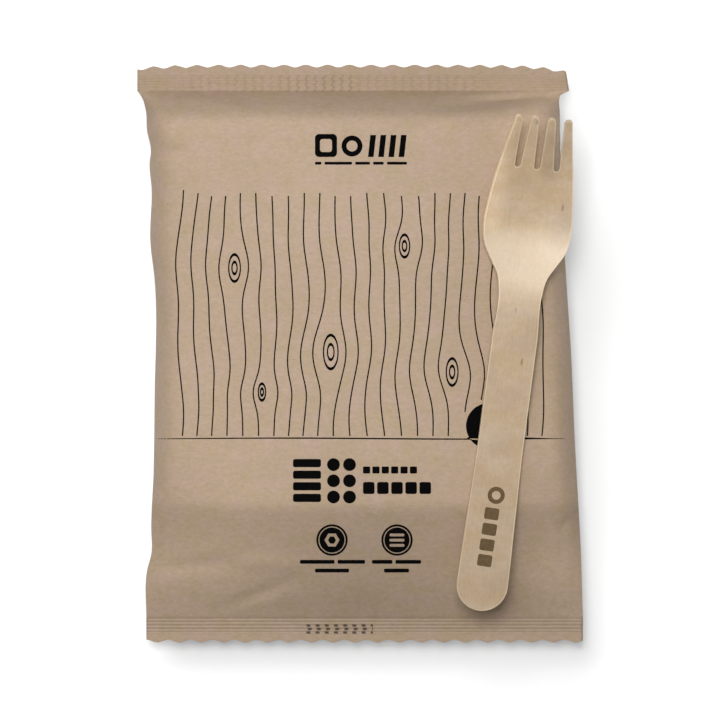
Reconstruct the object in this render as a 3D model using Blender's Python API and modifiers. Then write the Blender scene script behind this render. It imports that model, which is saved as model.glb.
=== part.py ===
"""Sealed paper pack of wooden forks, lying on its back, with one loose fork resting on its front.

Metres, +Z up. The pack's length runs along Y with its top end at +Y, and its printed front faces +Z.
"""

import math

import bmesh
import bpy
import numpy as np
from mathutils import Euler, Vector
from mathutils.bvhtree import BVHTree

# Wrapper
PACK_LENGTH = 0.1880
TOP_SEAL_WIDTH = 0.1405
BOTTOM_SEAL_WIDTH = 0.1420
LEAN = 0.0036
HEAD_THICKNESS = 0.0268
HANDLE_THICKNESS = 0.0262
TOP_SLOPE_LENGTH = 0.0080
TOP_SLOPE_ROUNDING = 0.0060
LOWER_SLOPE_LENGTH = 0.0370
BACK_SLOPE_LENGTH = 0.0130
LOWER_SLOPE_ROUNDING = 0.0012
PLATEAU_RISE_SHARE = 0.65
SIDE_SLOPE_LENGTH = 0.0105
SIDE_SLOPE_SHARE = 0.64
LOW_SIDE_SLOPE_SHARE = 0.20
LOW_SIDE_START = 0.0540
LOW_SIDE_FADE = 0.0340
SHOULDER_POWER = 3.2
BACK_POWER = 3.2
BACK_FLATNESS = 1.2

# How far the filled pack's sides draw in from the flat film, as (share of the body from the top, distance)
LEFT_INSETS = (
    (0.0, 0.0),
    (0.012, 0.0014),
    (0.036, 0.0026),
    (0.074, 0.0029),
    (0.115, 0.0041),
    (0.135, 0.0036),
    (0.185, 0.0041),
    (0.285, 0.0034),
    (0.36, 0.0046),
    (0.587, 0.0039),
    (0.72, 0.0032),
    (0.83, 0.0021),
    (0.875, 0.0021),
    (0.91, 0.0005),
    (1.0, 0.0),
)
RIGHT_INSETS = (
    (0.0, 0.0002),
    (0.008, 0.0030),
    (0.012, 0.0033),
    (0.04, 0.0034),
    (0.32, 0.0029),
    (0.5, 0.0017),
    (0.66, 0.0012),
    (0.89, 0.0001),
    (1.0, 0.0),
)

# End seals
SEAL_THICKNESS = 0.0007
TOP_SEAL_HEIGHT = 0.0095
BOTTOM_SEAL_HEIGHT = 0.0085
BOTTOM_SEAL_DROOP = 0.0010
TOP_SEAL_DEPTH = 0.0086
BOTTOM_SEAL_DEPTH = 0.0080
TEETH = 20
TOP_LEFT_CORNER_DROP = 0.0010
TOP_RIGHT_CORNER_DROP = 0.0021
TOP_RIGHT_TAPER = 0.0010
CORNER_POWER = 8
TOOTH_DEPTH = 0.0011
RIBS = 5
RIB_PITCH = 0.0011
RIB_DEPTH = 0.0003
SEAL_EDGE = 0.0004

# Back fin seal, folded flat against the back
FIN_WIDTH = 0.0204
FIN_ROOT = 0.0030
FIN_GROOVE_WIDTH = 0.0008
FIN_GROOVE_DEPTH = 0.0003

# Folds in the front: start and end as (x, y) from the pack's middle, half width, height above the film
FOLD_FADE_HEIGHT = 0.006
FOLDS = (
    ((0.0720, 0.0825), (0.0240, 0.0745), 0.0020, 0.0007),
    ((0.0700, 0.0860), (0.0200, 0.0780), 0.0022, -0.0034),
    ((0.0350, 0.0745), (0.0100, 0.0730), 0.0030, -0.0007),
    ((-0.0665, 0.0640), (-0.0540, 0.0655), 0.0022, -0.0010),
    ((-0.0620, 0.0840), (-0.0300, 0.0780), 0.0024, 0.0011),
    ((-0.0720, -0.0700), (-0.0330, -0.0668), 0.0026, -0.0007),
    ((-0.0440, -0.0670), (-0.0150, -0.0690), 0.0026, 0.0006),
    ((-0.0540, -0.0870), (-0.0180, -0.0722), 0.0020, -0.0012),
    ((-0.0480, -0.0860), (-0.0200, -0.0785), 0.0018, 0.0005),
    ((0.0640, -0.0560), (0.0690, -0.0550), 0.0018, -0.0006),
)

# Fork, its length from the handle's end to the tips of the tines
FORK_LENGTH = 0.1600
FORK_THICKNESS = 0.0016
HANDLE_END_WIDTH = 0.0166
HANDLE_WAIST_WIDTH = 0.0147
NECK_WIDTH = 0.0143
HEAD_WIDTH = 0.0290
TINES_WIDTH = 0.0184
HANDLE_WAIST_START = 0.0520
HANDLE_WAIST_END = 0.0880
NECK_PLACE = 0.1035
HEAD_PLACE = 0.1240
SLOTS = 3
SLOT_LENGTH = 0.0167
SLOT_ROOT_WIDTH = 0.0019
SLOT_TIP_WIDTH = 0.0029
SLOT_ROOT_SPACING = 0.0065
SLOT_TIP_SPACING = 0.00545

# The head's outline, as shares of the way along it and of the change in width
NECK_TO_HEAD = ((0.22, 0.13), (0.44, 0.49), (0.67, 0.85))
HEAD_TO_TIPS = ((0.24, 0.13),)

# The fork's bend
BEND_START = 0.0950
BOWL_PLACE = 0.1260
BOWL_DROP = 0.0045
TIP_RISE = 0.0020
DISH_DEPTH = 0.0012

# Where the loose fork lies: how far its handle's end is from the pack's right side and from its bottom end
FORK_FROM_SIDE = 0.0344
FORK_FROM_END = 0.0114
FORK_YAW = math.radians(-7.42)
HANDLE_SUPPORT = 0.0600
CLEARANCE = 0.0003

# Fineness of the meshes
ROWS_ON_TOP_SLOPE = 6
ROWS_ON_PLATEAU = 15
ROWS_ON_LOWER_SLOPE = 9
LOWER_ROWS_CROWDING = 1.6
ARC_STEPS = 6
SIDE_STEPS = 30
BEND_STEP = 0.0026
DISH_STEP = 0.0035

PAPER_COLOUR = (192, 168, 142)
WOOD_COLOUR = (222, 198, 160)

TOP_EDGE = PACK_LENGTH / 2 - TOP_SEAL_DEPTH
BOTTOM_EDGE = -PACK_LENGTH / 2 + BOTTOM_SEAL_DEPTH


def clear_scene():
    for obj in list(bpy.data.objects):
        bpy.data.objects.remove(obj, do_unlink=True)


def new_collection(name):
    collection = bpy.data.collections.new(name)
    bpy.context.scene.collection.children.link(collection)
    return collection


def linear(colour):
    """A colour given as 0 to 255 sRGB values, as the linear RGBA that a shader takes."""
    shares = [c / 255 for c in colour]
    return [s / 12.92 if s <= 0.04045 else ((s + 0.055) / 1.055) ** 2.4 for s in shares] + [1.0]


def material(name, colour, roughness):
    made = bpy.data.materials.new(name)
    made.use_nodes = True
    shader = made.node_tree.nodes["Principled BSDF"]
    shader.inputs["Base Color"].default_value = linear(colour)
    shader.inputs["Roughness"].default_value = roughness
    shader.inputs["Metallic"].default_value = 0.0
    made.diffuse_color = linear(colour)
    return made


def mesh_object(name, mesh, collection, finish=None):
    obj = bpy.data.objects.new(name, mesh)
    collection.objects.link(obj)
    if finish:
        mesh.materials.append(finish)
    return obj


# Curves and profiles


def smooth_step(t):
    t = np.clip(t, 0.0, 1.0)
    return t * t * (3 - 2 * t)


def smooth_through(points, at):
    """A smooth curve through (place, value) points, read at the places in at."""
    places, values = np.array(points).T
    slopes = np.gradient(values, places)
    i = np.clip(np.searchsorted(places, at) - 1, 0, len(places) - 2)
    span = places[i + 1] - places[i]
    t = np.clip((at - places[i]) / span, 0.0, 1.0)
    ease = smooth_step(t)
    pull = span * (t * (1 - t) ** 2 * slopes[i] - t * t * (1 - t) * slopes[i + 1])
    return values[i] + (values[i + 1] - values[i]) * ease + pull


def arch(t):
    """A quarter ellipse: rises steeply from 0 at t = 0 and levels off at 1 from t = 1 on."""
    return np.sqrt(1 - (1 - np.clip(t, 0.0, 1.0)) ** 2)


def shoulder(t):
    """Rises at a slant from 0 at t = 0 and rounds off to 1 at t = 1."""
    return 1 - (1 - np.clip(t, 0.0, 1.0)) ** SHOULDER_POWER


def crown(t, power):
    """Depth of the back's section, 1 in its middle and 0 at its sides, for t from -1 to 1 across the pack."""
    return (1 - np.abs(t) ** power) ** (1 / power)


def lower_of(first, second, rounding):
    """The lower of two heights, with the corner between them rounded."""
    blend = np.clip(0.5 + 0.5 * (second - first) / rounding, 0.0, 1.0)
    return second * (1 - blend) + first * blend - rounding * blend * (1 - blend)


# Shape of the pack


def down_share(y):
    return np.clip((TOP_EDGE - y) / (TOP_EDGE - BOTTOM_EDGE), 0.0, 1.0)


def middle_x(y):
    return LEAN * (down_share(y) - 0.5)


def side_x(y, side):
    """How far the pack's side lies from its middle line, for side -1 (left) or 1 (right)."""
    share = down_share(y)
    film = (TOP_SEAL_WIDTH + (BOTTOM_SEAL_WIDTH - TOP_SEAL_WIDTH) * share) / 2
    insets = LEFT_INSETS if side < 0 else RIGHT_INSETS
    return film - smooth_through(insets, share)


def seal_height(y):
    """Height of the seals and of the line that joins them, with the bottom seal drooping towards its teeth."""
    droop = BOTTOM_SEAL_DROOP * np.clip((BOTTOM_EDGE - y) / BOTTOM_SEAL_DEPTH, 0.0, 1.0)
    return TOP_SEAL_HEIGHT + (BOTTOM_SEAL_HEIGHT - TOP_SEAL_HEIGHT) * down_share(y) - droop


def corner_drop(across, y):
    """How far the cut end of the top seal falls back towards its two corners."""
    drop = np.where(across < 0, TOP_LEFT_CORNER_DROP, TOP_RIGHT_CORNER_DROP) * np.abs(across) ** CORNER_POWER
    return drop * np.clip((y - TOP_EDGE) / TOP_SEAL_DEPTH, 0.0, 1.0)


def end_taper(across, y):
    """How far the right end of the top seal draws in towards its teeth."""
    share = np.clip((y - TOP_EDGE) / TOP_SEAL_DEPTH, 0.0, 1.0)
    return TOP_RIGHT_TAPER * share * np.maximum(across, 0.0) ** CORNER_POWER


def in_body(y):
    return (y < TOP_EDGE) & (y > BOTTOM_EDGE)


def front_rise(y):
    """Height of the front's middle line above the seals."""
    plateau_start = BOTTOM_EDGE + LOWER_SLOPE_LENGTH
    up = smooth_step((y - plateau_start) / (TOP_EDGE - plateau_start) / PLATEAU_RISE_SHARE)
    plateau = HANDLE_THICKNESS + (HEAD_THICKNESS - HANDLE_THICKNESS) * up - seal_height(y)
    slope = (y - BOTTOM_EDGE) / LOWER_SLOPE_LENGTH * (HANDLE_THICKNESS - BOTTOM_SEAL_HEIGHT)
    top_slope = (TOP_EDGE - y) / TOP_SLOPE_LENGTH * (HEAD_THICKNESS - TOP_SEAL_HEIGHT)
    rise = lower_of(plateau, slope, LOWER_SLOPE_ROUNDING)
    rise = lower_of(rise, top_slope, TOP_SLOPE_ROUNDING)
    return np.where(in_body(y), np.maximum(rise, 0.0), 0.0)


def front_section(t, half, y):
    """Height of the front's section at y, 1 in its middle and 0 at its sides, for t from -1 to 1 across it."""
    low = smooth_step((BOTTOM_EDGE + LOW_SIDE_START - y) / LOW_SIDE_FADE)
    share = SIDE_SLOPE_SHARE + (LOW_SIDE_SLOPE_SHARE - SIDE_SLOPE_SHARE) * low
    return share * shoulder((1 - np.abs(t)) * half / SIDE_SLOPE_LENGTH) + (1 - share) * (1 - t * t)


def back_drop(y):
    """Depth of the back's middle line below the seals, more than the ground allows, which flattens it."""
    ends = arch((TOP_EDGE - y) / BACK_SLOPE_LENGTH) * arch((y - BOTTOM_EDGE) / BACK_SLOPE_LENGTH)
    return np.where(in_body(y), seal_height(y) * BACK_FLATNESS * ends, 0.0)


def fold_height(x, y):
    """Height that the folds add to the front at (x, y)."""
    total = np.zeros_like(x)
    for start, end, half_width, height in FOLDS:
        along = np.array(end) - np.array(start)
        length = np.hypot(*along)
        along = along / length
        run = ((x - start[0]) * along[0] + (y - start[1]) * along[1]) / length
        off = (y - start[1]) * along[0] - (x - start[0]) * along[1]
        total += height * np.exp(-((off / half_width) ** 2)) * np.sin(math.pi * np.clip(run, 0.0, 1.0))
    return total


def rib_offsets():
    """(distance from the seal's inner edge, height) of each row of the crimped ribs."""
    rows = [(SEAL_EDGE, 0.0)]
    for i in range(2 * RIBS + 1):
        rows.append((SEAL_EDGE + (i + 1) * RIB_PITCH / 2, RIB_DEPTH / 2 * (-1) ** i))
    rows.append((SEAL_EDGE + (2 * RIBS + 2) * RIB_PITCH / 2, 0.0))
    return rows


def pack_rows():
    """(y, rib height, direction of the teeth) of each row of the pack's mesh, from its top end to its bottom."""
    half = PACK_LENGTH / 2
    ribs = rib_offsets()
    rows = [(half, 0.0, -1)]
    rows += [(TOP_EDGE + distance, height, 0) for distance, height in reversed(ribs)]
    angles = np.linspace(0, math.pi / 2, ROWS_ON_TOP_SLOPE + 1)
    rows += [(TOP_EDGE - TOP_SLOPE_LENGTH * (1 - math.cos(a)), 0.0, 0) for a in angles]
    plateau_end = BOTTOM_EDGE + LOWER_SLOPE_LENGTH
    plateau = np.linspace(TOP_EDGE - TOP_SLOPE_LENGTH, plateau_end, ROWS_ON_PLATEAU + 1)
    rows += [(y, 0.0, 0) for y in plateau[1:]]
    shares = np.linspace(1, 0, ROWS_ON_LOWER_SLOPE + 1)[1:] ** LOWER_ROWS_CROWDING
    rows += [(BOTTOM_EDGE + LOWER_SLOPE_LENGTH * s, 0.0, 0) for s in shares]
    rows += [(BOTTOM_EDGE - distance, height, 0) for distance, height in ribs]
    rows.append((-half, 0.0, 1))
    return np.array(rows).T


def pack_points(across, row, is_front):
    """Points of the pack from their place across it, -1 to 1, their row and their layer."""
    rows_y, rows_rib, rows_teeth = pack_rows()
    y = rows_y[row]
    body = np.where(in_body(y), 1.0, 0.0)
    eased = across + (np.sin(across * math.pi / 2) - across) * body
    half = np.where(eased < 0, side_x(y, -1), side_x(y, 1))
    x = middle_x(y) + half * eased
    thick = np.where(is_front, SEAL_THICKNESS / 2, -SEAL_THICKNESS / 2)
    front = front_rise(y) * front_section(eased, half, y)
    front += fold_height(x, y) * body * np.minimum(1.0, front_rise(y) / FOLD_FADE_HEIGHT)
    back = -back_drop(y) * crown(eased, BACK_POWER)
    z = seal_height(y) + rows_rib[row] + thick + np.where(is_front, front, back)
    tooth = np.round((across + 1) * TEETH) % 2
    cut = rows_teeth[row] * TOOTH_DEPTH * tooth
    return x - end_taper(across, y), y + cut - corner_drop(across, y), np.maximum(z, 0.0)


def make_wrapper(collection, finish):
    rows = pack_rows().shape[1]
    columns = 2 * TEETH
    bm = bmesh.new()
    bmesh.ops.create_grid(bm, x_segments=columns, y_segments=rows - 1, size=0.5)
    bmesh.ops.solidify(bm, geom=bm.faces[:], thickness=0.1)
    mesh = bpy.data.meshes.new("paper_pack")
    bm.to_mesh(mesh)
    bm.free()
    flat = np.array([v.co[:] for v in mesh.vertices])
    row = np.round((0.5 - flat[:, 1]) * (rows - 1)).astype(int)
    is_front = flat[:, 2] > flat[:, 2].mean()
    shaped = np.array(pack_points(flat[:, 0] * 2, row, is_front)).T
    low, high = shaped.min(axis=0), shaped.max(axis=0)
    shaped -= [(low[0] + high[0]) / 2, (low[1] + high[1]) / 2, 0.0]
    mesh.vertices.foreach_set("co", shaped.ravel())
    mesh.update()
    return mesh_object("paper_pack", mesh, collection, finish)


def box_cutter(name, low, high, collection):
    bm = bmesh.new()
    bmesh.ops.create_cube(bm, size=1.0)
    size = Vector(high) - Vector(low)
    bmesh.ops.scale(bm, vec=size, verts=bm.verts)
    bmesh.ops.translate(bm, vec=(Vector(low) + Vector(high)) / 2, verts=bm.verts)
    mesh = bpy.data.meshes.new(name)
    bm.to_mesh(mesh)
    bm.free()
    cutter = mesh_object(name, mesh, collection)
    cutter.hide_render = True
    cutter.display_type = "WIRE"
    return cutter


def cut_fin_grooves(pack, cutters):
    """Lines in the flat back along the fin's folded root and its free edge."""
    top = TOP_EDGE - BACK_SLOPE_LENGTH
    bottom = BOTTOM_EDGE + BACK_SLOPE_LENGTH
    for name, x in (("fin_root_groove", FIN_ROOT), ("fin_edge_groove", FIN_ROOT - FIN_WIDTH)):
        low = (x - FIN_GROOVE_WIDTH / 2, bottom, -FIN_GROOVE_DEPTH)
        high = (x + FIN_GROOVE_WIDTH / 2, top, FIN_GROOVE_DEPTH)
        cut = pack.modifiers.new(name, "BOOLEAN")
        cut.operation = "DIFFERENCE"
        cut.solver = "EXACT"
        cut.object = box_cutter(name, low, high, cutters)


# Shape of the fork


def fork_side(a):
    """Half width of the fork at the distance a from the handle's end."""

    def between(start, end, shares):
        span = np.subtract(end, start)
        return [(start[0] + span[0] * along, start[1] + span[1] * wide) for along, wide in shares]

    end_radius = HANDLE_END_WIDTH / 2
    neck = (NECK_PLACE, NECK_WIDTH / 2)
    head = (HEAD_PLACE, HEAD_WIDTH / 2)
    tips = (FORK_LENGTH, TINES_WIDTH / 2)
    handle = [(0.0, end_radius), (end_radius, end_radius)]
    handle += [(HANDLE_WAIST_START, HANDLE_WAIST_WIDTH / 2), (HANDLE_WAIST_END, HANDLE_WAIST_WIDTH / 2)]
    widening = [neck] + between(neck, head, NECK_TO_HEAD) + [head]
    return smooth_through(handle + widening + between(head, tips, HEAD_TO_TIPS) + [tips], a)


def fork_edges():
    """The sides of the tines from right to left, each as a function of the distance from the handle's end."""

    def slot_side(place, side):
        def at(a):
            share = (a - (FORK_LENGTH - SLOT_LENGTH)) / SLOT_LENGTH
            centre = place * (SLOT_ROOT_SPACING + (SLOT_TIP_SPACING - SLOT_ROOT_SPACING) * share)
            return centre + side * (SLOT_ROOT_WIDTH + (SLOT_TIP_WIDTH - SLOT_ROOT_WIDTH) * share) / 2

        return at

    edges = [fork_side]
    for i in range(SLOTS):
        place = (SLOTS - 1) / 2 - i
        edges += [slot_side(place, 1), slot_side(place, -1)]
    edges.append(lambda a: -fork_side(a))
    return edges


def half_round(right, left, y, way):
    """Points of a half circle from right to left, over the top for way 1 and under the bottom for way -1."""
    radius = (right - left) / 2
    angles = np.linspace(0, math.pi, ARC_STEPS + 1)
    return [((right + left) / 2 + radius * math.cos(t), y + way * radius * math.sin(t)) for t in angles]


def fork_outline():
    """The fork's flat outline as (x, y) points, round tips and slot roots included."""
    edges = fork_edges()
    tine_width = (TINES_WIDTH - SLOTS * SLOT_TIP_WIDTH) / (SLOTS + 1)
    tip_start = FORK_LENGTH - tine_width / 2
    root_start = FORK_LENGTH - SLOT_LENGTH + SLOT_ROOT_WIDTH / 2
    end_radius = HANDLE_END_WIDTH / 2
    side_ys = np.linspace(end_radius, tip_start, SIDE_STEPS + 1)
    points = [(float(fork_side(y)), y) for y in side_ys[:-1]]
    for i in range(SLOTS + 1):
        points += half_round(float(edges[2 * i](tip_start)), float(edges[2 * i + 1](tip_start)), tip_start, 1)
        if i < SLOTS:
            right, left = edges[2 * i + 1](root_start), edges[2 * i + 2](root_start)
            points += half_round(float(right), float(left), root_start, -1)
    points += [(-float(fork_side(y)), y) for y in side_ys[-2::-1]]
    angles = np.linspace(math.pi, 2 * math.pi, 2 * ARC_STEPS + 1)[1:-1]
    points += [(end_radius * math.cos(t), end_radius + end_radius * math.sin(t)) for t in angles]
    return points


def fork_height(x, y):
    """Height of the fork's underside: the neck bends down to the bowl, and the tines rise from it."""
    down = smooth_step((y - BEND_START) / (BOWL_PLACE - BEND_START))
    up = np.clip((y - BOWL_PLACE) / (FORK_LENGTH - BOWL_PLACE), 0.0, 1.0)
    dish = DISH_DEPTH * (x / (HEAD_WIDTH / 2)) ** 2 * down
    return -BOWL_DROP * down + (BOWL_DROP + TIP_RISE) * up**2 + dish


def outline_mesh(name, points):
    """A flat mesh filled inside a closed outline."""
    curve = bpy.data.curves.new(name, "CURVE")
    curve.dimensions = "2D"
    curve.fill_mode = "BOTH"
    spline = curve.splines.new("POLY")
    spline.points.add(len(points) - 1)
    for point, (x, y) in zip(spline.points, points):
        point.co = (x, y, 0.0, 1.0)
    spline.use_cyclic_u = True
    holder = bpy.data.objects.new(name, curve)
    bpy.context.scene.collection.objects.link(holder)
    graph = bpy.context.evaluated_depsgraph_get()
    mesh = bpy.data.meshes.new_from_object(holder.evaluated_get(graph))
    bpy.data.objects.remove(holder, do_unlink=True)
    return mesh


def make_fork(collection, finish):
    mesh = outline_mesh("fork", fork_outline())
    bm = bmesh.new()
    bm.from_mesh(mesh)
    bmesh.ops.remove_doubles(bm, verts=bm.verts, dist=1e-6)
    bmesh.ops.dissolve_limit(bm, angle_limit=0.01, verts=bm.verts, edges=bm.edges, use_dissolve_boundaries=False)
    cuts = [((0.0, y, 0.0), (0.0, 1.0, 0.0)) for y in np.arange(BEND_START, FORK_LENGTH, BEND_STEP)]
    reach = int(HEAD_WIDTH / 2 / DISH_STEP)
    cuts += [((i * DISH_STEP, 0.0, 0.0), (1.0, 0.0, 0.0)) for i in range(-reach, reach + 1)]
    for place, normal in cuts:
        everything = bm.verts[:] + bm.edges[:] + bm.faces[:]
        bmesh.ops.bisect_plane(bm, geom=everything, dist=1e-6, plane_co=place, plane_no=normal)
    for vert in bm.verts:
        vert.co.z = float(fork_height(vert.co.x, vert.co.y))
    bmesh.ops.recalc_face_normals(bm, faces=bm.faces)
    if sum(face.normal.z for face in bm.faces) < 0:
        bmesh.ops.reverse_faces(bm, faces=bm.faces)
    bm.to_mesh(mesh)
    bm.free()
    fork = mesh_object("fork", mesh, collection, finish)
    solid = fork.modifiers.new("veneer", "SOLIDIFY")
    solid.thickness = FORK_THICKNESS
    solid.offset = 1.0
    mesh.shade_smooth()
    mesh.set_sharp_from_angle(angle=math.radians(35))
    return fork


# The loose fork's seat


def tree_of(obj):
    """The evaluated object in world space: a tree for casting rays, and its points."""
    graph = bpy.context.evaluated_depsgraph_get()
    evaluated = obj.evaluated_get(graph)
    mesh = evaluated.to_mesh()
    points = [evaluated.matrix_world @ v.co for v in mesh.vertices]
    tree = BVHTree.FromPolygons(points, [p.vertices[:] for p in mesh.polygons])
    evaluated.to_mesh_clear()
    return tree, points


def height_below(tree, x, y):
    return tree.ray_cast(Vector((x, y, 1.0)), Vector((0, 0, -1)))[0].z


def gaps(tree, points, way):
    """Upright distances from points to a tree, looking down for way -1 or up for way 1."""
    hits = ((p, tree.ray_cast(p, Vector((0, 0, way)))[0]) for p in points)
    return [abs(hit.z - p.z) for p, hit in hits if hit]


def seat_fork(fork, pack):
    """Lays the fork on the pack: its bowl and its handle carry it, and it tips sideways with the film."""
    tree, pack_tops = tree_of(pack)
    pack_right = max(point.x for point in pack_tops)
    pack_bottom = min(point.y for point in pack_tops)
    end = Vector((pack_right - FORK_FROM_SIDE, pack_bottom + FORK_FROM_END))
    along = Vector((-math.sin(FORK_YAW), math.cos(FORK_YAW)))
    across = Vector((along.y, -along.x))
    handle = end + along * HANDLE_SUPPORT
    bowl = end + along * BOWL_PLACE
    left = handle - across * HANDLE_WAIST_WIDTH / 2
    right = handle + across * HANDLE_WAIST_WIDTH / 2
    roll = math.atan2(height_below(tree, *left) - height_below(tree, *right), HANDLE_WAIST_WIDTH)
    lift = height_below(tree, *bowl) + BOWL_DROP - height_below(tree, *handle)
    pitch = math.atan2(lift, BOWL_PLACE - HANDLE_SUPPORT)
    turn = Euler((0, 0, FORK_YAW)).to_matrix() @ Euler((pitch, 0, 0)).to_matrix() @ Euler((0, roll, 0)).to_matrix()
    fork.rotation_euler = turn.to_euler()
    fork.location = (end.x, end.y, 2 * HEAD_THICKNESS)
    bpy.context.view_layer.update()
    fork_tree, fork_points = tree_of(fork)
    clear = min(gaps(tree, fork_points, -1) + gaps(fork_tree, pack_tops, 1))
    fork.location.z -= clear - CLEARANCE
    bpy.context.view_layer.update()


def main():
    clear_scene()
    collection = new_collection("pack_of_wooden_forks")
    cutters = new_collection("cutters")
    paper = material("kraft_paper", PAPER_COLOUR, 0.75)
    wood = material("birch_veneer", WOOD_COLOUR, 0.6)
    pack = make_wrapper(collection, paper)
    cut_fin_grooves(pack, cutters)
    fork = make_fork(collection, wood)
    seat_fork(fork, pack)


main()
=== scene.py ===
"""Looks of the pack of wooden forks: a printed kraft paper pack with crimped ends, and a birch fork on it.

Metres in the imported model's frame: +Y towards the pack's top end, +Z out of its printed front.
"""

import math

import bmesh
import bpy
import numpy as np
from mathutils import Euler, Matrix, Vector
from mathutils.bvhtree import BVHTree


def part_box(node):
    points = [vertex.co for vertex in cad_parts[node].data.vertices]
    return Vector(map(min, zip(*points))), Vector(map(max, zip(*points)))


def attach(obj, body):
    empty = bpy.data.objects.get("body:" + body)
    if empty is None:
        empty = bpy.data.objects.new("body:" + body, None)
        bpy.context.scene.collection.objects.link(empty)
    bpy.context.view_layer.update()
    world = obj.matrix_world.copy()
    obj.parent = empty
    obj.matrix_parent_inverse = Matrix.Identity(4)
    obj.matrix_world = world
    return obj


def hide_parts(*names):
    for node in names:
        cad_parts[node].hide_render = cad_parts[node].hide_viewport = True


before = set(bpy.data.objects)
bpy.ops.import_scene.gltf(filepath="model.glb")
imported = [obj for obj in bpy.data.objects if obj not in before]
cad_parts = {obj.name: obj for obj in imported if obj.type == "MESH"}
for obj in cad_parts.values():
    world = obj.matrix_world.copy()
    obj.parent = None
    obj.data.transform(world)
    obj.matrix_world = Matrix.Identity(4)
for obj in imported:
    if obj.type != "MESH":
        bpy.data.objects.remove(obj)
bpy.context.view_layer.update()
PACK_LOW, PACK_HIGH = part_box("paper_pack")

# Photograph
PHOTO_SIDE = 720
PIXEL = 0.0003249
PIXEL_HEIGHT = 0.010
PHOTO_CENTRE = (-0.00007, -0.00203)
CAMERA_DISTANCE = 1.4
SENSOR = 36.0

# Wrapper, as in the solid. Insets: share of the way down the body, and how far the side is drawn in there
PACK_LENGTH = PACK_HIGH.y - PACK_LOW.y
TOP_SEAL_WIDTH = 0.1405
BOTTOM_SEAL_WIDTH = 0.1420
LEAN = 0.0036
HEAD_THICKNESS = 0.0268
HANDLE_THICKNESS = 0.0262
TOP_SLOPE_LENGTH = 0.0080
TOP_SLOPE_ROUNDING = 0.0060
LOWER_SLOPE_LENGTH = 0.0370
BACK_SLOPE_LENGTH = 0.0130
LOWER_SLOPE_ROUNDING = 0.0012
PLATEAU_RISE_SHARE = 0.65
SIDE_SLOPE_LENGTH = 0.0105
SIDE_SLOPE_SHARE = 0.64
LOW_SIDE_SLOPE_SHARE = 0.20
LOW_SIDE_START = 0.0540
LOW_SIDE_FADE = 0.0340
SHOULDER_POWER = 3.2
BACK_POWER = 3.2
BACK_FLATNESS = 1.2
LEFT_INSETS = (
    (0.0, 0.0),
    (0.012, 0.0014),
    (0.036, 0.0026),
    (0.074, 0.0029),
    (0.115, 0.0041),
    (0.135, 0.0036),
    (0.185, 0.0041),
    (0.285, 0.0034),
    (0.36, 0.0046),
    (0.587, 0.0039),
    (0.72, 0.0032),
    (0.83, 0.0021),
    (0.875, 0.0021),
    (0.91, 0.0005),
    (1.0, 0.0),
)
RIGHT_INSETS = (
    (0.0, 0.0002),
    (0.008, 0.0030),
    (0.012, 0.0033),
    (0.04, 0.0034),
    (0.32, 0.0029),
    (0.5, 0.0017),
    (0.66, 0.0012),
    (0.89, 0.0001),
    (1.0, 0.0),
)

# End seals
SEAL_THICKNESS = 0.0005
TOP_SEAL_HEIGHT = 0.0095
BOTTOM_SEAL_HEIGHT = 0.0085
BOTTOM_SEAL_DROOP = 0.0010
TOP_SEAL_DEPTH = 0.0086
BOTTOM_SEAL_DEPTH = 0.0080
TEETH_ACROSS = 19.83
TOP_TOOTH_PHASE = 0.73
BOTTOM_TOOTH_PHASE = 0.50
TOP_LEFT_CORNER_DROP = 0.0010
TOP_RIGHT_CORNER_DROP = 0.0021
TOP_RIGHT_TAPER = 0.0010
CORNER_POWER = 8
TOOTH_DEPTH = 0.0010
TOOTH_FADE = 0.0022
TOOTH_SHARPNESS = 0.6
TOP_RIBS = 5
BOTTOM_RIBS = 4
TOP_RIB_PITCH = 0.00098
BOTTOM_RIB_PITCH = 0.00115
RIB_DEPTH = 0.00028
SEAL_EDGE = 0.0001

# Marks in the crimp, darker still in the grooves as painted shade. Parts across the top: start, end, fade and
# how much darker
TOP_MARK_PITCH = 0.00286
TOP_MARK_LEAN = 0.0006
TOP_MARK_CUT = (0.62, 0.98)
TOP_MARK_PARTS = ((-0.050, 0.030, 0.016, 0.10), (-0.0235, -0.0035, 0.004, 0.12))
TOP_MARK_FADE = 0.0003
TOP_MARK_ON_RIB, TOP_MARK_IN_GROOVE = 0.6, 1.1
STAMP_PITCH = 0.00299
STAMP_LEAN = 0.0005
STAMP_CUT = (0.45, 0.75)
STAMP_LEFT, STAMP_FIRST, STAMP_RIGHT = -0.0174, -0.0164, 0.0040
STAMP_SIDE_FADE, STAMP_END_FADE = 0.0003, 0.0002
STAMP_BELOW_RIBS, STAMP_RIBS = 0.35, 2.7
STAMP_ON_RIB, STAMP_IN_GROOVE = 0.22, 0.82
STAMP_GROOVE_CUT = (0.1, 0.6)

# Folds: start and end as (x, y) from the pack's middle, half width, height above the film
FOLD_FADE_HEIGHT = 0.006
FOLDS = (
    ((0.0720, 0.0825), (0.0240, 0.0745), 0.0020, 0.0007),
    ((0.0700, 0.0860), (0.0200, 0.0780), 0.0022, -0.0034),
    ((0.0350, 0.0745), (0.0100, 0.0730), 0.0030, -0.0007),
    ((-0.0665, 0.0640), (-0.0540, 0.0655), 0.0022, -0.0010),
    ((-0.0620, 0.0840), (-0.0300, 0.0780), 0.0024, 0.0011),
    ((-0.0720, -0.0700), (-0.0330, -0.0668), 0.0026, -0.0007),
    ((-0.0440, -0.0670), (-0.0150, -0.0690), 0.0026, 0.0006),
    ((-0.0540, -0.0870), (-0.0180, -0.0722), 0.0020, -0.0012),
    ((-0.0480, -0.0860), (-0.0200, -0.0785), 0.0018, 0.0005),
    ((0.0640, -0.0560), (0.0690, -0.0550), 0.0018, -0.0006),
)

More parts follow.
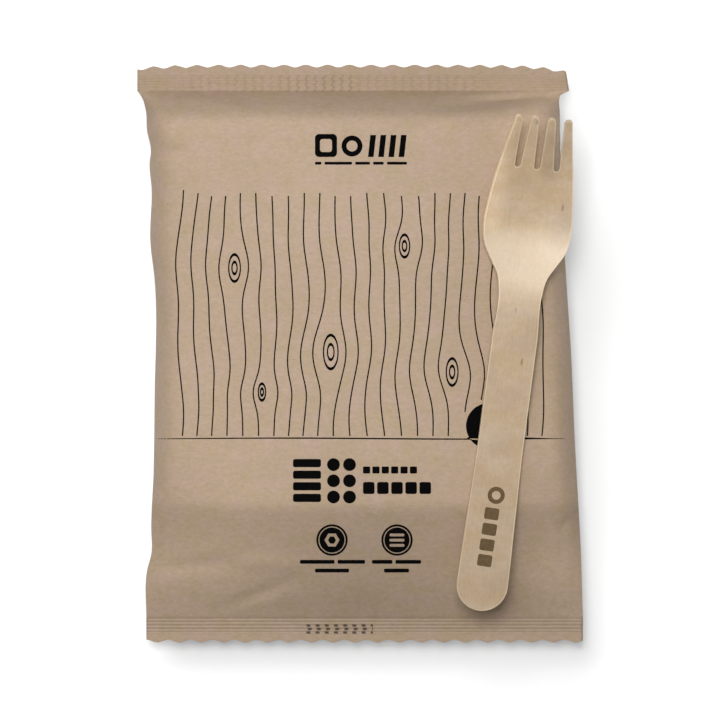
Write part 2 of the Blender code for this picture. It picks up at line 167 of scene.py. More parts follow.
# Fork, as in the solid
FORK_LENGTH = 0.1600
FORK_THICKNESS = 0.0016
HANDLE_END_WIDTH = 0.0166
HANDLE_WAIST_WIDTH = 0.0147
NECK_WIDTH = 0.0143
HEAD_WIDTH = 0.0290
TINES_WIDTH = 0.0184
HANDLE_WAIST_START = 0.0520
HANDLE_WAIST_END = 0.0880
NECK_PLACE = 0.1035
HEAD_PLACE = 0.1240
SLOTS = 3
SLOT_LENGTH = 0.0167
SLOT_ROOT_WIDTH = 0.0019
SLOT_TIP_WIDTH = 0.0029
SLOT_ROOT_SPACING = 0.0065
SLOT_TIP_SPACING = 0.00545
SLOT_ROOT_SHIFT, SLOT_TIP_SHIFT = 0.0003, -0.0002
# Shares of the way along and of the way out between the named widths
NECK_TO_HEAD = ((0.22, 0.13), (0.44, 0.49), (0.67, 0.85))
HEAD_TO_TIPS = ((0.24, 0.13),)
BEND_START = 0.0950
BOWL_PLACE = 0.1260
BOWL_DROP = 0.0045
TIP_RISE = 0.0020
DISH_DEPTH = 0.0012
FORK_PLACE = (0.038025, -0.0826, 0.021934)
FORK_TURN = (2.948, 6.733, -7.074)

# Painted shade and light on the paper. Spots: x, y, their reach along both, and how much darker
SHADE_TOP = 0.16
SHADE_TOP_START, SHADE_TOP_FADE = 0.0730, 0.0055
SHADE_LOW = 0.09
SHADE_LOW_START, SHADE_LOW_FADE = -0.0465, 0.0045
SHADE_LOWEST = 0.13
SHADE_LOWEST_START, SHADE_LOWEST_FADE = -0.0700, 0.0120
SHADE_LOWEST_END, SHADE_LOWEST_END_FADE = -0.0895, 0.0030
SHADE_RIGHT = 0.02
SHADE_RIGHT_START, SHADE_RIGHT_FADE = 0.0050, 0.0300
LEFT_LIGHT = -0.04
RIGHT_LIGHT = 0.12
SIDE_LIGHT_REACH = 0.0130
SHADE_SPOTS = (
    (0.004, -0.072, 0.026, 0.020, 0.13),
    (0.000, -0.040, 0.026, 0.010, 0.06),
    (0.0600, 0.0715, 0.0120, 0.0120, -0.29),
)

# Stage. Lights: place, size and watts
WHITE = (1.0, 1.0, 1.0, 1.0)
FLOOR_SIZE = 6.0
FLOOR_DROP = 0.0005
FLOOR_GLOW = 0.34
FLOOR_SHADE = 0.54
FLOOR_BOUNCE = 0.2
KEY_LIGHT = ((-0.10, 0.29, 1.25), (0.55, 0.55), 10.2)
FILL_LIGHT = ((-0.75, 0.30, 0.95), (0.6, 0.6), 2.0)
FLOOR_LIGHT = ((-1.05, 2.05, 1.50), (2.4, 1.6), 138.0)
WORLD_STRENGTH = 0.20

# Print, with its places in pixels of the photograph. Blocks: left, top, right, bottom and corner radius.
# Rings: x, y and radius. Words: left, top, right, bottom, shares of the length, gap and corner radius.
PRINT_GAP = 0.00003
PRINT_STEP = 3.0
SIGN_BLOCKS = ((315, 134, 337, 157, 4.0), (320, 139, 332, 152, 2.5))
SIGN_RINGS = ((352, 146, 10.5), (352, 146, 5.5))
SIGN_BARS = 4
SIGN_BAR_LEFT, SIGN_BAR_TOP, SIGN_BAR_BOTTOM = 368.0, 135, 157
SIGN_BAR_WIDTH, SIGN_BAR_LEAN, SIGN_BAR_PITCH = 5.6, 2.4, 10.2
SIGN_WORDS = (315, 161.8, 407, 164.6, (6, 26, 14, 10, 19), 3.2, 0.9)
RULE_LEFT, RULE_RIGHT, RULE_HEIGHT = 156, 565, 438.6
RULE_POINTS = 130
RULE_WAVE, RULE_WAVE_LENGTH = 0.5, 60.0
RULE_END_WIDTH, RULE_GAIN, RULE_TAPER = 0.25, 1.15, 0.35
COUNT_BAR = (293, 459, 321, 467.2, 2.0)
COUNT_BARS, COUNT_BAR_PITCH = 4, 11.6
COUNT_DOT_COLUMNS = (333.5, 349.5)
COUNT_DOT_TOP, COUNT_DOT_RADIUS = 464.6, 6.4
COUNT_DOTS, COUNT_DOT_PITCH = 3, 16.2
COUNT_WORDS = (
    (363, 466.5, 417, 473.5, (1, 1, 1, 1, 1, 1), 2.2, 1.0),
    (363, 482.0, 431, 494.0, (1, 1, 1, 1, 1), 2.6, 2.0),
)
BADGE_COLUMNS, BADGE_HEIGHT = (332, 397), 540
BADGE_RADII = (15.7, 13.6, 12.6)
BADGE_NUT_RADII = (7.5, 4.0)
BADGE_BAR = (389.5, 533.5, 404.5, 536.3, 1.2)
BADGE_BARS, BADGE_BAR_PITCH = 3, 5.2
BADGE_WORDS = (
    (300, 559.9, 365, 563.7, (34, 27), 3.0, 1.2),
    (315, 568.6, 349, 572.4, (1,), 3.0, 1.2),
    (372, 559.9, 421, 563.7, (20, 25), 3.0, 1.2),
    (384, 568.6, 409, 572.4, (1,), 3.0, 1.2),
)
GRAIN_LEFT, GRAIN_RIGHT = 180.0, 541.0
GRAIN_TOP, GRAIN_BOTTOM = 190.0, 436.0
GRAIN_LINES = 24
GRAIN_STROKE = 1.3
GRAIN_STEP = 3.0
GRAIN_RAGGED, GRAIN_RAGGED_TURN = 6.0, 2.4
# Waves of the grain: reach, length down the pack and drift across it. Knots: x, y, half width, half height
GRAIN_WAVES = ((2.6, 41.0, 0.021), (1.3, 17.0, 0.05))
KNOTS = (
    (236.0, 268.0, 9.0, 26.0),
    (331.0, 352.0, 11.0, 32.0),
    (402.0, 246.0, 8.0, 22.0),
    (262.0, 392.0, 6.0, 17.0),
    (452.0, 372.0, 9.0, 26.0),
)
KNOT_REACH = 34.0
KNOT_RINGS = (0.72, 0.36)
KNOT_FLATNESS = 0.8
KNOT_PROBE = 0.01
PRINT_DISC = (489.0, 426.0, 23.0)
PRINT_DISC_MARGIN = 4.0
HANDLE_MARK_PLACE = (491.5, 527.0)
HANDLE_MARK_TURN = 98.5
HANDLE_MARK_WORD = (-19.0, -5.4, 40.0, 9.0, (1, 1, 1, 1), 4.0, 1.8)
HANDLE_MARK_RINGS = ((-32.0, 0.0, 8.6), (-32.0, 0.0, 4.4))

# Colours, as 0 to 255 sRGB values
KRAFT_YELLOW = (195, 171, 141)
KRAFT_PINK = (197, 171, 150)
FLECK_BROWN = (140, 112, 86)
PAPER_FLECKS = 0.5
BIRCH = ((207, 184, 155), (198, 169, 132), (187, 164, 141))
# The rim's paler tone is partly the cut edge's own wood and partly a painted highlight along the edges
BIRCH_RIM = ((230, 208, 174), (226, 202, 166), (222, 200, 168))
BIRCH_FLECK = (146, 106, 68)
# An even, paler tone for the painted sheen on the pressed bend
SHEEN_WOOD_TONE = (199, 181, 156)
PRINT_BLACK = (7, 6, 6)
MARK_BROWN = (112, 92, 67)

# Wood, with its places across the fork and along it from the handle's end
BIRCH_FLECKS, RIM_FLECKS = 0.7, 0.2
WOOD_SPOTS = ((0.0032, 0.0812), (0.0104, 0.1318))
WOOD_SPOT_SIZE = (0.0005, 0.0016)
WOOD_SPOT_COVER = 0.75
SPOT_CORE = 0.3
GREY_COVER = 0.6
# The pressed bend gets a painted sheen: its part along the fork and fade, how much of the sheen tone covers
# it, and its light across the fork
PRESSED_PART = (0.1088, 0.1165)
PRESSED_FADE = 0.0130
SHEEN_TONE_COVER = 0.85
PRESSED_HALF_WIDTH = 0.0080
PRESSED_LIGHT_LEFT, PRESSED_LIGHT_GAIN = 0.42, 0.10
# Painted light on the head's left side: its part across and along the fork, and how much lighter
LIT_SIDE_ACROSS, LIT_SIDE_ALONG, LIT_SIDE_LIGHT = (-0.0060, -0.0128), (0.1180, 0.1290), 0.30
# Shades: centre, size and how much lighter
WOOD_SHADES = (
    ((0.0040, 0.1480), (0.0060, 0.0120), -0.17),
    ((0.0110, 0.1225), (0.0060, 0.0070), -0.10),
)
HANDLE_LIGHT, HANDLE_LIGHT_REACH = 0.09, 0.08
RIM_SHADE = 0.14
RIM_SHADE_HALF_FADE = 0.001
RIM_SHADE_FULL = 0.0900
TINE_RIM_SHARE = 0.7
TINE_RIM_PART = (0.1390, 0.1450)

# Fineness of the meshes
COLUMNS = 160
SEAL_ROWS = 44
TOP_SLOPE_ROWS = 16
BODY_ROWS = 176
ARC_STEPS = 10
SIDE_STEPS = 90
BEND_STEP = 0.0012
DISH_STEP = 0.0016
EDGE_RADIUS = 0.00022
EDGE_SEGMENTS = 3
EDGE_ANGLE = 50
RIM_WIDTH = 0.00034
RING_STEPS = 40
CORNER_POINTS = 5
PRINT_DISC_STEPS = 64
SAME_PLACE = 1e-6
SAME_DIRECTION = 0.01

TOP_EDGE = PACK_LENGTH / 2 - TOP_SEAL_DEPTH
BOTTOM_EDGE = -PACK_LENGTH / 2 + BOTTOM_SEAL_DEPTH


def linear(colour):
    """The linear RGBA that a shader takes for an sRGB colour."""
    shares = [c / 255 for c in colour]
    return [s / 12.92 if s <= 0.04045 else ((s + 0.055) / 1.055) ** 2.4 for s in shares] + [1.0]


def mesh_object(name, mesh, finish):
    obj = bpy.data.objects.new(name, mesh)
    bpy.context.scene.collection.objects.link(obj)
    mesh.materials.clear()
    mesh.materials.append(finish)
    return obj


# Curves and profiles


def smooth_step(t):
    t = np.clip(t, 0.0, 1.0)
    return t * t * (3 - 2 * t)


def smooth_through(points, at):
    """A smooth curve through (place, value) points, read at the places in at."""
    places, values = np.array(points).T
    slopes = np.gradient(values, places)
    i = np.clip(np.searchsorted(places, at) - 1, 0, len(places) - 2)
    span = places[i + 1] - places[i]
    t = np.clip((at - places[i]) / span, 0.0, 1.0)
    pull = span * (t * (1 - t) ** 2 * slopes[i] - t * t * (1 - t) * slopes[i + 1])
    return values[i] + (values[i + 1] - values[i]) * smooth_step(t) + pull


def arch(t):
    """A quarter circle that rises from 0 to 1."""
    return np.sqrt(1 - (1 - np.clip(t, 0.0, 1.0)) ** 2)


def shoulder(t):
    """A round shoulder that rises from 0 to 1."""
    return 1 - (1 - np.clip(t, 0.0, 1.0)) ** SHOULDER_POWER


def crown(t, power):
    """A rounded section that falls from 1 in the middle to 0 at both sides."""
    return (1 - np.abs(t) ** power) ** (1 / power)


def lower_of(first, second, rounding):
    """The lower of two heights, rounded where they cross."""
    blend = np.clip(0.5 + 0.5 * (second - first) / rounding, 0.0, 1.0)
    return second * (1 - blend) + first * blend - rounding * blend * (1 - blend)


# Shape of the pack


def down_share(y):
    """How far down the body a place is: 0 at the top end seal, 1 at the bottom one."""
    return np.clip((TOP_EDGE - y) / (TOP_EDGE - BOTTOM_EDGE), 0.0, 1.0)


def middle_x(y):
    """Where the pack's middle runs, since it leans a little."""
    return LEAN * (down_share(y) - 0.5)


def side_x(y, side):
    """How far a side lies from the middle, with side -1 for the left and 1 for the right."""
    share = down_share(y)
    film = (TOP_SEAL_WIDTH + (BOTTOM_SEAL_WIDTH - TOP_SEAL_WIDTH) * share) / 2
    insets = LEFT_INSETS if side < 0 else RIGHT_INSETS
    return film - smooth_through(insets, share)


def seal_height(y):
    """Height of the plane where the front and the back meet."""
    droop = BOTTOM_SEAL_DROOP * np.clip((BOTTOM_EDGE - y) / BOTTOM_SEAL_DEPTH, 0.0, 1.0)
    return TOP_SEAL_HEIGHT + (BOTTOM_SEAL_HEIGHT - TOP_SEAL_HEIGHT) * down_share(y) - droop


def corner_drop(across, y):
    """How far the top end seal's corners are drawn down along the pack."""
    drop = np.where(across < 0, TOP_LEFT_CORNER_DROP, TOP_RIGHT_CORNER_DROP) * np.abs(across) ** CORNER_POWER
    return drop * np.clip((y - TOP_EDGE) / TOP_SEAL_DEPTH, 0.0, 1.0)


def end_taper(across, y):
    """How far the top end seal is drawn in at its right corner."""
    share = np.clip((y - TOP_EDGE) / TOP_SEAL_DEPTH, 0.0, 1.0)
    return TOP_RIGHT_TAPER * share * np.maximum(across, 0.0) ** CORNER_POWER


def in_body(y):
    return (y < TOP_EDGE) & (y > BOTTOM_EDGE)


def front_rise(y):
    """How far the front stands above the seals along the pack's middle."""
    plateau_start = BOTTOM_EDGE + LOWER_SLOPE_LENGTH
    up = smooth_step((y - plateau_start) / (TOP_EDGE - plateau_start) / PLATEAU_RISE_SHARE)
    plateau = HANDLE_THICKNESS + (HEAD_THICKNESS - HANDLE_THICKNESS) * up - seal_height(y)
    slope = (y - BOTTOM_EDGE) / LOWER_SLOPE_LENGTH * (HANDLE_THICKNESS - BOTTOM_SEAL_HEIGHT)
    top_slope = (TOP_EDGE - y) / TOP_SLOPE_LENGTH * (HEAD_THICKNESS - TOP_SEAL_HEIGHT)
    rise = lower_of(plateau, slope, LOWER_SLOPE_ROUNDING)
    rise = lower_of(rise, top_slope, TOP_SLOPE_ROUNDING)
    return np.where(in_body(y), np.maximum(rise, 0.0), 0.0)


def front_section(t, half, y):
    """The share of the front's rise at t, which runs from -1 at the left side to 1 at the right one."""
    low = smooth_step((BOTTOM_EDGE + LOW_SIDE_START - y) / LOW_SIDE_FADE)
    share = SIDE_SLOPE_SHARE + (LOW_SIDE_SLOPE_SHARE - SIDE_SLOPE_SHARE) * low
    return share * shoulder((1 - np.abs(t)) * half / SIDE_SLOPE_LENGTH) + (1 - share) * (1 - t * t)


def back_drop(y):
    """How far the back would hang below the seals if nothing held it up."""
    ends = arch((TOP_EDGE - y) / BACK_SLOPE_LENGTH) * arch((y - BOTTOM_EDGE) / BACK_SLOPE_LENGTH)
    return np.where(in_body(y), seal_height(y) * BACK_FLATNESS * ends, 0.0)


def fold_height(x, y):
    """Ridges and creases of the paper, each fading out towards its ends."""
    total = np.zeros_like(x)
    for start, end, half_width, height in FOLDS:
        along = np.array(end) - np.array(start)
        length = np.hypot(*along)
        along = along / length
        run = ((x - start[0]) * along[0] + (y - start[1]) * along[1]) / length
        off = (y - start[1]) * along[0] - (x - start[0]) * along[1]
        total += height * np.exp(-((off / half_width) ** 2)) * np.sin(math.pi * np.clip(run, 0.0, 1.0))
    return total


def rib_height(y):
    """The crimp's ribs across both end seals, rounded between narrow grooves."""
    outward = np.maximum(y - TOP_EDGE, BOTTOM_EDGE - y) - SEAL_EDGE
    pitch = np.where(y > 0, TOP_RIB_PITCH, BOTTOM_RIB_PITCH)
    ribs = np.where(y > 0, TOP_RIBS, BOTTOM_RIBS)
    inside = (outward > 0) & (outward < ribs * pitch)
    return np.where(inside, RIB_DEPTH * (np.abs(np.sin(math.pi * outward / pitch)) - 1), 0.0)


def tooth_cut(across, y):
    """How far the zigzag cut moves the points near the pack's two ends."""
    half = PACK_LENGTH / 2
    top = y > 0
    phase = np.where(top, TOP_TOOTH_PHASE, BOTTOM_TOOTH_PHASE)
    turn = (across + 1) / 2 * TEETH_ACROSS - phase
    zigzag = 1 - 2 * np.abs(turn - np.floor(turn) - 0.5)
    rounded = 0.5 - 0.5 * np.cos(math.pi * zigzag)
    depth = 1 - (TOOTH_SHARPNESS * (1 - zigzag) + (1 - TOOTH_SHARPNESS) * (1 - rounded))
    fade = np.clip(1 - (half - np.abs(y)) / TOOTH_FADE, 0.0, 1.0)
    return -np.sign(y) * TOOTH_DEPTH * depth * fade


def pack_rows():
    """The places along the pack of the grid's rows, from the top end down."""
    half = PACK_LENGTH / 2
    angles = np.linspace(0, math.pi / 2, TOP_SLOPE_ROWS + 1)
    return np.concatenate(
        [
            np.linspace(half, TOP_EDGE, SEAL_ROWS + 1)[:-1],
            TOP_EDGE - TOP_SLOPE_LENGTH * (1 - np.cos(angles)),
            np.linspace(TOP_EDGE - TOP_SLOPE_LENGTH, BOTTOM_EDGE, BODY_ROWS + 1)[1:],
            np.linspace(BOTTOM_EDGE, -half, SEAL_ROWS + 1)[1:],
        ]
    )


def pack_points(across, row, is_front):
    """Where the grid's vertices go, as x, y and z."""
    y = pack_rows()[row]
    body = np.where(in_body(y), 1.0, 0.0)
    eased = across + (np.sin(across * math.pi / 2) - across) * body
    half = np.where(eased < 0, side_x(y, -1), side_x(y, 1))
    x = middle_x(y) + half * eased
    thick = np.where(is_front, SEAL_THICKNESS / 2, -SEAL_THICKNESS / 2)
    front = front_rise(y) * front_section(eased, half, y)
    front += fold_height(x, y) * body * np.minimum(1.0, front_rise(y) / FOLD_FADE_HEIGHT)
    back = -back_drop(y) * crown(eased, BACK_POWER)
    z = seal_height(y) + rib_height(y) + thick + np.where(is_front, front, back)
    return x - end_taper(across, y), y + tooth_cut(across, y) - corner_drop(across, y), np.maximum(z, 0.0)


def painted_paper_shade(x, y):
    """Painted shade and light on the paper: a little less light on the end seals and on the slopes by them,
    more or less by the sides and in a few spots.
    """
    top = smooth_step((y - SHADE_TOP_START) / SHADE_TOP_FADE)
    low = smooth_step((SHADE_LOW_START - y) / SHADE_LOW_FADE)
    lowest = smooth_step((SHADE_LOWEST_START - y) / SHADE_LOWEST_FADE)
    lowest *= 1 - smooth_step((SHADE_LOWEST_END - y) / SHADE_LOWEST_END_FADE)
    right = smooth_step((x - SHADE_RIGHT_START) / SHADE_RIGHT_FADE)
    at_left = smooth_step(1 - (side_x(y, -1) + x - middle_x(y)) / SIDE_LIGHT_REACH)
    at_right = smooth_step(1 - (side_x(y, 1) - x + middle_x(y)) / SIDE_LIGHT_REACH)
    sides = np.where(in_body(y), LEFT_LIGHT * at_left + RIGHT_LIGHT * at_right * (1 - low), 0.0)
    ends = (1 - SHADE_TOP * top) * (1 - SHADE_LOW * low) * (1 - SHADE_LOWEST * lowest)
    for spot_x, spot_y, reach_x, reach_y, amount in SHADE_SPOTS:
        ends *= 1 - amount * np.exp(-(((x - spot_x) / reach_x) ** 2) - ((y - spot_y) / reach_y) ** 2)
    return ends * (1 - SHADE_RIGHT * right) * (1 + sides)


def make_wrapper(finish):
    """The whole wrapper: a two-sided grid of unit size whose vertices are moved to their places."""
    rows = len(pack_rows())
    bm = bmesh.new()
    bmesh.ops.create_grid(bm, x_segments=COLUMNS, y_segments=rows - 1, size=0.5)
    bmesh.ops.solidify(bm, geom=bm.faces[:], thickness=0.1)
    mesh = bpy.data.meshes.new("wrapper")
    bm.to_mesh(mesh)
    bm.free()
    flat = np.empty(len(mesh.vertices) * 3)
    mesh.vertices.foreach_get("co", flat)
    flat = flat.reshape(-1, 3)
    row = np.round((0.5 - flat[:, 1]) * (rows - 1)).astype(int)
    is_front = flat[:, 2] > flat[:, 2].mean()
    shaped = np.array(pack_points(flat[:, 0] * 2, row, is_front)).T
    low, high = shaped.min(axis=0), shaped.max(axis=0)
    shaped -= [(low[0] + high[0]) / 2, (low[1] + high[1]) / 2, 0.0]
    mesh.vertices.foreach_set("co", shaped.ravel())
    # The paper's painted shade and light, kept on the front's vertices
    shade = mesh.attributes.new("shade", "FLOAT", "POINT")
    shade.data.foreach_set("value", np.where(is_front, painted_paper_shade(shaped[:, 0], shaped[:, 1]), 1.0))
    mesh.update()
    mesh.shade_smooth()
    return mesh_object("wrapper", mesh, finish)


# Shape of the fork


def fork_side(a):
    """Half width of the fork at the distance a from the handle's end."""

    def between(start, end, shares):
        span = np.subtract(end, start)
        return [(start[0] + span[0] * along, start[1] + span[1] * wide) for along, wide in shares]

    end_radius = HANDLE_END_WIDTH / 2
    neck = (NECK_PLACE, NECK_WIDTH / 2)
    head = (HEAD_PLACE, HEAD_WIDTH / 2)
    tips = (FORK_LENGTH, TINES_WIDTH / 2)
    handle = [(0.0, end_radius), (end_radius, end_radius)]
    handle += [(HANDLE_WAIST_START, HANDLE_WAIST_WIDTH / 2), (HANDLE_WAIST_END, HANDLE_WAIST_WIDTH / 2)]
    widening = [neck] + between(neck, head, NECK_TO_HEAD) + [head]
    return smooth_through(handle + widening + between(head, tips, HEAD_TO_TIPS) + [tips], a)


def fork_edges():
    """The sides of the tines from right to left, each as a function of the distance from the handle's end."""

    def slot_side(place, side):
        def at(a):
            share = (a - (FORK_LENGTH - SLOT_LENGTH)) / SLOT_LENGTH
            centre = place * (SLOT_ROOT_SPACING + (SLOT_TIP_SPACING - SLOT_ROOT_SPACING) * share)
            centre += SLOT_ROOT_SHIFT + (SLOT_TIP_SHIFT - SLOT_ROOT_SHIFT) * share
            return centre + side * (SLOT_ROOT_WIDTH + (SLOT_TIP_WIDTH - SLOT_ROOT_WIDTH) * share) / 2

        return at

    edges = [fork_side]
    for i in range(SLOTS):
        place = (SLOTS - 1) / 2 - i
        edges += [slot_side(place, 1), slot_side(place, -1)]
    edges.append(lambda a: -fork_side(a))
    return edges


def half_round(right, left, y, way):
    """A half circle between two sides. Way is 1 if it bulges towards the tips, and -1 towards the handle."""
    radius = (right - left) / 2
    angles = np.linspace(0, math.pi, ARC_STEPS + 1)
    return [((right + left) / 2 + radius * math.cos(t), y + way * radius * math.sin(t)) for t in angles]


def fork_outline():
    """The fork's flat outline, anticlockwise from the handle's right side."""
    edges = fork_edges()
    tine_width = (TINES_WIDTH - SLOTS * SLOT_TIP_WIDTH) / (SLOTS + 1)
    tip_start = FORK_LENGTH - tine_width / 2
    root_start = FORK_LENGTH - SLOT_LENGTH + SLOT_ROOT_WIDTH / 2
    end_radius = HANDLE_END_WIDTH / 2
    side_ys = np.linspace(end_radius, tip_start, SIDE_STEPS + 1)
    points = [(float(fork_side(y)), y) for y in side_ys[:-1]]
    for i in range(SLOTS + 1):
        points += half_round(float(edges[2 * i](tip_start)), float(edges[2 * i + 1](tip_start)), tip_start, 1)
        if i < SLOTS:
            right, left = edges[2 * i + 1](root_start), edges[2 * i + 2](root_start)
            points += half_round(float(right), float(left), root_start, -1)
    points += [(-float(fork_side(y)), y) for y in side_ys[-2::-1]]
    angles = np.linspace(math.pi, 2 * math.pi, 2 * ARC_STEPS + 1)[1:-1]
    points += [(end_radius * math.cos(t), end_radius + end_radius * math.sin(t)) for t in angles]
    return points


def inset_outline(points, distance):
    """An outline that runs anticlockwise, moved inwards."""
    points = np.array(points)
    along = np.roll(points, -1, axis=0) - np.roll(points, 1, axis=0)
    along /= np.linalg.norm(along, axis=1)[:, None]
    return (points + distance * np.column_stack([-along[:, 1], along[:, 0]])).tolist()


def fork_height(x, y):
    """How high the pressed fork lies above its flat sheet."""
    down = smooth_step((y - BEND_START) / (BOWL_PLACE - BEND_START))
    up = np.clip((y - BOWL_PLACE) / (FORK_LENGTH - BOWL_PLACE), 0.0, 1.0)
    dish = DISH_DEPTH * (x / (HEAD_WIDTH / 2)) ** 2 * down
    return -BOWL_DROP * down + (BOWL_DROP + TIP_RISE) * up**2 + dish


def filled(name, outlines):
    """A flat mesh filled inside closed outlines, where an outline inside another one is a hole."""
    curve = bpy.data.curves.new(name, "CURVE")
    curve.dimensions = "2D"
    curve.fill_mode = "BOTH"
    for points in outlines:
        spline = curve.splines.new("POLY")
        spline.points.add(len(points) - 1)
        for point, (x, y) in zip(spline.points, points):
            point.co = (x, y, 0.0, 1.0)
        spline.use_cyclic_u = True
    holder = bpy.data.objects.new(name, curve)
    bpy.context.scene.collection.objects.link(holder)
    graph = bpy.context.evaluated_depsgraph_get()
    mesh = bpy.data.meshes.new_from_object(holder.evaluated_get(graph))
    bpy.data.objects.remove(holder, do_unlink=True)
    return mesh


def cut_into_strips(bm, xs, ys):
    """Cuts flat faces along the lines at xs and ys, so that they can be bent."""
    cuts = [((x, 0.0, 0.0), (1.0, 0.0, 0.0)) for x in xs] + [((0.0, y, 0.0), (0.0, 1.0, 0.0)) for y in ys]
    for place, normal in cuts:
        everything = bm.verts[:] + bm.edges[:] + bm.faces[:]
        bmesh.ops.bisect_plane(bm, geom=everything, dist=SAME_PLACE, plane_co=place, plane_no=normal)


def make_fork(finish, edge_finish):
    outline = fork_outline()
    inner = inset_outline(outline, RIM_WIDTH)
    bm = bmesh.new()
    # The rim ring takes the rim finish: paler cut-edge wood with a painted highlight
    bm.from_mesh(filled("rim", [outline, inner]))
    for face in bm.faces:
        face.material_index = 1
    mesh = filled("loose_fork", [inner])
    bm.from_mesh(mesh)
    bmesh.ops.remove_doubles(bm, verts=bm.verts, dist=SAME_PLACE)
    bmesh.ops.dissolve_limit(
        bm,
        angle_limit=SAME_DIRECTION,
        verts=bm.verts,
        edges=bm.edges,
        use_dissolve_boundaries=False,
        delimit={"MATERIAL"},
    )
    reach = int(HEAD_WIDTH / 2 / DISH_STEP)
    xs = [i * DISH_STEP for i in range(-reach, reach + 1)]
    cut_into_strips(bm, xs, np.arange(BEND_START, FORK_LENGTH, BEND_STEP))
    for vert in bm.verts:
        vert.co.z = float(fork_height(vert.co.x, vert.co.y))
    bmesh.ops.recalc_face_normals(bm, faces=bm.faces)
    if sum(face.normal.z for face in bm.faces) < 0:
        bmesh.ops.reverse_faces(bm, faces=bm.faces)
    fork = mesh_object("loose_fork", mesh, finish)
    mesh.materials.append(edge_finish)
    bm.to_mesh(mesh)
    bm.free()
    solid = fork.modifiers.new("veneer", "SOLIDIFY")
    solid.thickness = FORK_THICKNESS
    solid.offset = 1.0
    edge = fork.modifiers.new("edge", "BEVEL")
    edge.width = EDGE_RADIUS
    edge.segments = EDGE_SEGMENTS
    edge.limit_method = "ANGLE"
    edge.angle_limit = math.radians(EDGE_ANGLE)
    mesh.shade_smooth()
    apply_modifiers(fork)
    grain = fork.data.attributes.new("along_fork", "FLOAT_VECTOR", "POINT")
    flat = np.empty(len(fork.data.vertices) * 3)
    fork.data.vertices.foreach_get("co", flat)
    grain.data.foreach_set("vector", flat)
    fork.data.transform(Euler([math.radians(a) for a in FORK_TURN]).to_matrix().to_4x4())
    fork.data.transform(Matrix.Translation(FORK_PLACE))
    return fork


def apply_modifiers(obj):
    """Replaces the mesh by the one that its modifiers make."""
    graph = bpy.context.evaluated_depsgraph_get()
    graph.update()
    mesh = bpy.data.meshes.new_from_object(obj.evaluated_get(graph))
    obj.modifiers.clear()
    obj.data = mesh


# Print


def ring_points(x, y, radius, stretch=1.0, steps=RING_STEPS):
    turns = np.linspace(0, 2 * math.pi, steps, endpoint=False)
    return [(x + radius * math.cos(t), y + radius * stretch * math.sin(t)) for t in turns]


def block_points(left, top, right, bottom, radius):
    """A rectangle with rounded corners."""
    points = []
    corners = ((right, bottom, 0), (left, bottom, 1), (left, top, 2), (right, top, 3))
    for x, y, quarter in corners:
        way_x = -1 if x == right else 1
        way_y = -1 if y == bottom else 1
        for t in np.linspace(quarter * math.pi / 2, (quarter + 1) * math.pi / 2, CORNER_POINTS):
            points.append((x + radius * (way_x + math.cos(t)), y + radius * (way_y + math.sin(t))))
    return points


def ribbon_points(centre, widths):
    """The outline of a line drawn along the points of centre, with a width at each of them."""
    centre = np.array(centre)
    along = np.gradient(centre, axis=0)
    along /= np.linalg.norm(along, axis=1)[:, None]
    side = np.column_stack([-along[:, 1], along[:, 0]]) * np.array(widths)[:, None] / 2
    return np.concatenate([centre + side, (centre - side)[::-1]]).tolist()


def word_blocks(left, top, right, bottom, shares, gap, radius):
    """A word shown as plain blocks that share the line's length."""
    free = right - left - gap * (len(shares) - 1)
    blocks = []
    x = left
    for share in shares:
        span = free * share / sum(shares)
        blocks.append(block_points(x, top, x + span, bottom, radius))
        x += span + gap
    return blocks


def bar_column(first, count, pitch):
    """Equal bars below each other."""
    left, top, right, bottom, radius = first
    return [block_points(left, top + pitch * i, right, bottom + pitch * i, radius) for i in range(count)]


def grain_x(x, y):
    """Where a grain line that would be straight at x runs at the height y, parted by the knots."""
    shift = sum(reach * np.sin(y / length + x * drift) for reach, length, drift in GRAIN_WAVES)
    for knot_x, knot_y, half_width, half_height in KNOTS:
        off = x - knot_x
        side = np.where(off < 0, -1.0, 1.0)
        shift = shift + side * half_width * np.exp(-abs(off) / KNOT_REACH - ((y - knot_y) / half_height) ** 2)
    return x + shift


def grain_lines():
    """Wood grain in thin lines that run down the pack and part around knots."""
    lines = []
    ys = np.arange(GRAIN_TOP, GRAIN_BOTTOM + 1, GRAIN_STEP)
    disc_x, disc_y, disc_radius = PRINT_DISC
    for i in range(GRAIN_LINES):
        x = GRAIN_LEFT + (GRAIN_RIGHT - GRAIN_LEFT) * i / (GRAIN_LINES - 1)
        start = GRAIN_RAGGED * math.sin(i * GRAIN_RAGGED_TURN) ** 2
        run = ys[ys >= GRAIN_TOP + start]
        line = np.column_stack([grain_x(x, run), run])
        away = np.hypot(line[:, 0] - disc_x, line[:, 1] - disc_y) > disc_radius + PRINT_DISC_MARGIN
        line = line[: len(away) if away.all() else int(np.argmin(away))]
        lines.append(ribbon_points(line, np.full(len(line), GRAIN_STROKE)))
    for x, y, half_width, half_height in KNOTS:
        centre = float(grain_x(x + KNOT_PROBE, y) + grain_x(x - KNOT_PROBE, y)) / 2
        stretch = half_height / half_width * KNOT_FLATNESS
        for share in KNOT_RINGS:
            radius = half_width * share
            lines += [ring_points(centre, y, r, stretch) for r in (radius, radius - GRAIN_STROKE)]
    return lines


def rule_points():
    """The line under the grain, thin at both ends."""
    xs = np.linspace(RULE_LEFT, RULE_RIGHT, RULE_POINTS)
    line = np.column_stack([xs, RULE_HEIGHT + RULE_WAVE * np.sin(xs / RULE_WAVE_LENGTH)])
    swell = np.sin(np.linspace(0, math.pi, RULE_POINTS)) ** RULE_TAPER
    return ribbon_points(line, RULE_END_WIDTH + RULE_GAIN * swell)


